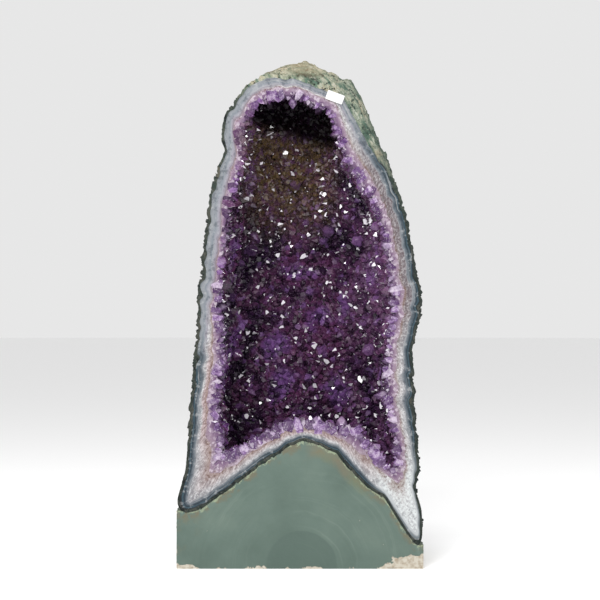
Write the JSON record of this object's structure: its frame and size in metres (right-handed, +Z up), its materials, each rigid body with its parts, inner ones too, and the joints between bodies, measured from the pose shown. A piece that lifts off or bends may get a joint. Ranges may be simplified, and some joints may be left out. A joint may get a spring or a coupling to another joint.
{
  "type": "amethyst geode",
  "caption": "Tall cathedral amethyst geode, sawn open down the front to show its crystal-lined hollow, standing in a green painted cast base.",
  "frame": {"origin": "on the floor under the base, in the middle of the part's box", "axes": "+Z up the geode; -Y out of the sawn face, towards someone looking into it; +X to that person's right"},
  "size_m": [0.293, 0.206, 0.6032],
  "materials": {
    "painted_cement": "matte",
    "basalt": "matte",
    "agate": "satin",
    "white_quartz": "satin",
    "amethyst": "gloss",
    "label_paper": "matte"
  },
  "bodies": {
    "root": {"agate_band": "agate", "amethyst_bed": "amethyst", "back_crystal_01": "amethyst", "back_crystal_02": "amethyst", "back_crystal_03": "amethyst", "back_crystal_04": "amethyst", "back_crystal_05": "amethyst", "back_crystal_06": "amethyst", "back_crystal_07": "amethyst", "basalt_rind": "basalt", "base_block": "painted_cement", "crown_crystal_01": "amethyst", "crown_crystal_02": "amethyst", "crown_crystal_03": "amethyst", "crown_crystal_04": "amethyst", "price_label": "label_paper", "quartz_band": "white_quartz", "sill_crystal_01": "amethyst", "sill_crystal_02": "amethyst", "sill_crystal_03": "amethyst", "sill_crystal_04": "amethyst", "sill_crystal_05": "amethyst", "sill_crystal_06": "amethyst", "sill_crystal_07": "amethyst", "sill_crystal_08": "amethyst", "sill_crystal_09": "amethyst", "sill_crystal_10": "amethyst", "sill_crystal_11": "amethyst", "wall_crystal_01": "amethyst", "wall_crystal_02": "amethyst", "wall_crystal_03": "amethyst", "wall_crystal_04": "amethyst", "wall_crystal_05": "amethyst", "wall_crystal_06": "amethyst", "wall_crystal_07": "amethyst", "wall_crystal_08": "amethyst", "wall_crystal_09": "amethyst", "wall_crystal_10": "amethyst", "wall_crystal_11": "amethyst", "wall_crystal_12": "amethyst", "wall_crystal_13": "amethyst"}
  },
  "joints": []
}
